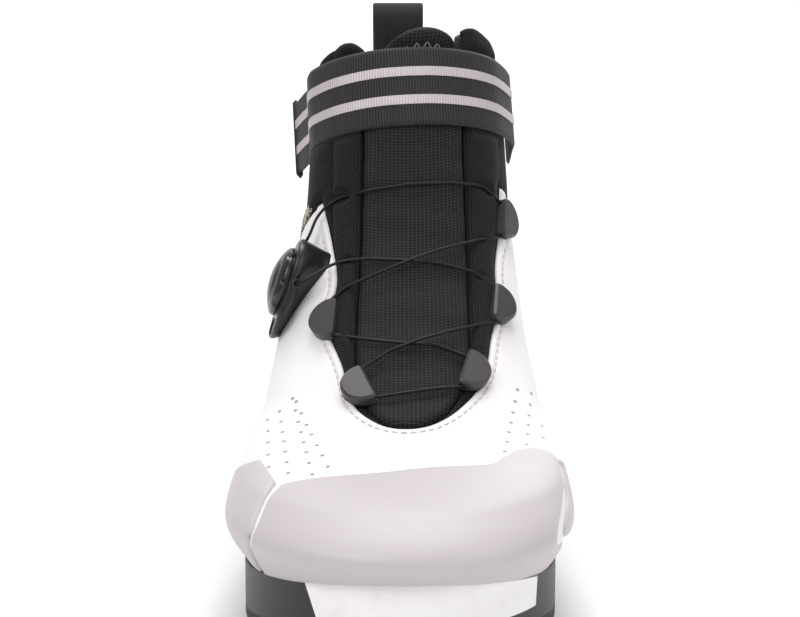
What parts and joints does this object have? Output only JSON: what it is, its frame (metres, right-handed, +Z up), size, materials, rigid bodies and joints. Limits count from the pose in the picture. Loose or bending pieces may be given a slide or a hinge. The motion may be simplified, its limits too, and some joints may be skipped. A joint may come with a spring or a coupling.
{
  "type": "cross country boot",
  "caption": "Low cross country ski boot with a wire lace, a turning dial, an ankle strap, a heel pull loop and a sole with a toe bar and guide grooves.",
  "frame": {"origin": "on the ground plane under the arch of the sole, 150 mm behind the tip of the toe, on the middle line of the last", "axes": "+X to the medial (big toe) side of this right boot, +Y to the heel, +Z up"},
  "size_m": [0.1136, 0.3011, 0.2131],
  "materials": {
    "sole_plastic": "moulded black plastic sole",
    "shank_metal": "stiff fibre-filled shank",
    "tread_rubber": "matt black rubber",
    "bracket_metal": "pressed steel",
    "bar_steel": "plain steel",
    "white_plastic": "slightly rough white plastic",
    "board": "fibre board",
    "lining_fabric": "black knitted lining",
    "puff_plastic": "thermoformed stiffener",
    "black_fabric": "black ribbed softshell",
    "white_leather": "matt white synthetic leather",
    "grey_film": "smooth light grey film",
    "patch_fabric": "speckled beige weave",
    "lace": "black coated cable",
    "dial_plastic": "moulded dark plastic",
    "spool_plastic": "moulded plastic spool",
    "webbing": "black ribbed webbing",
    "reflective": "light grey reflective weave"
  },
  "bodies": {
    "boot": {"ankle_cuff": "black_fabric", "bar_bracket": "bracket_metal", "bootie": "lining_fabric", "bracket_screws": "bar_steel", "collar_band": "black_fabric", "cuff_patch": "patch_fabric", "dial_base": "dial_plastic", "dial_clip": "dial_plastic", "dial_ring": "dial_plastic", "dial_screw": "bar_steel", "forefoot_tread": "tread_rubber", "guide_lateral_low": "dial_plastic", "guide_lateral_mid": "dial_plastic", "guide_medial_low": "dial_plastic", "guide_medial_mid": "dial_plastic", "guide_medial_top": "dial_plastic", "heel_counter": "grey_film", "heel_stiffener": "puff_plastic", "heel_tread": "tread_rubber", "insole": "lining_fabric", "lace_cable": "lace", "lasting_board": "board", "lateral_rand": "grey_film", "loop_anchor": "webbing", "medial_rand": "grey_film", "shank": "shank_metal", "sole_chassis": "sole_plastic", "strap_anchor": "webbing", "strap_loop": "black_fabric", "toe_bar": "bar_steel", "toe_bumper": "white_plastic", "toe_cap": "grey_film", "toe_puff": "puff_plastic", "tongue": "black_fabric", "upper_shell": "white_leather"},
    "dial_spool": {"dial_spool": "spool_plastic", "lace_winding": "lace"},
    "dial_knob": {"dial_knob": "dial_plastic", "dial_cap": "dial_plastic"},
    "strap": {"ankle_strap": "webbing", "reflective_stripes": "reflective", "strap_tab": "webbing", "strap_hook": "webbing"},
    "pull_loop": {"pull_loop": "webbing"}
  },
  "joints": [
    {"name": "dial_turn", "type": "hinge", "parent": "boot", "child": "dial_spool", "pos_m": [-0.03753, -0.00829, 0.098], "axis": [-0.9398, -0.12, 0.3199], "continuous": true},
    {"name": "dial_pull", "type": "slide", "parent": "dial_spool", "child": "dial_knob", "axis": [-0.9398, -0.12, 0.3199], "range_m": [0, 0.002]},
    {"name": "strap_open", "type": "hinge", "parent": "boot", "child": "strap", "pos_m": [0.04325, 0.04992, 0.1636], "axis": [-0.0603, 0.2833, 0.9571], "range_deg": [0, 110]},
    {"name": "pull_loop_fold", "type": "hinge", "parent": "boot", "child": "pull_loop", "pos_m": [-0.002, 0.1391, 0.1866], "axis": [1, 0, 0], "range_deg": [-60, 8]}
  ]
}
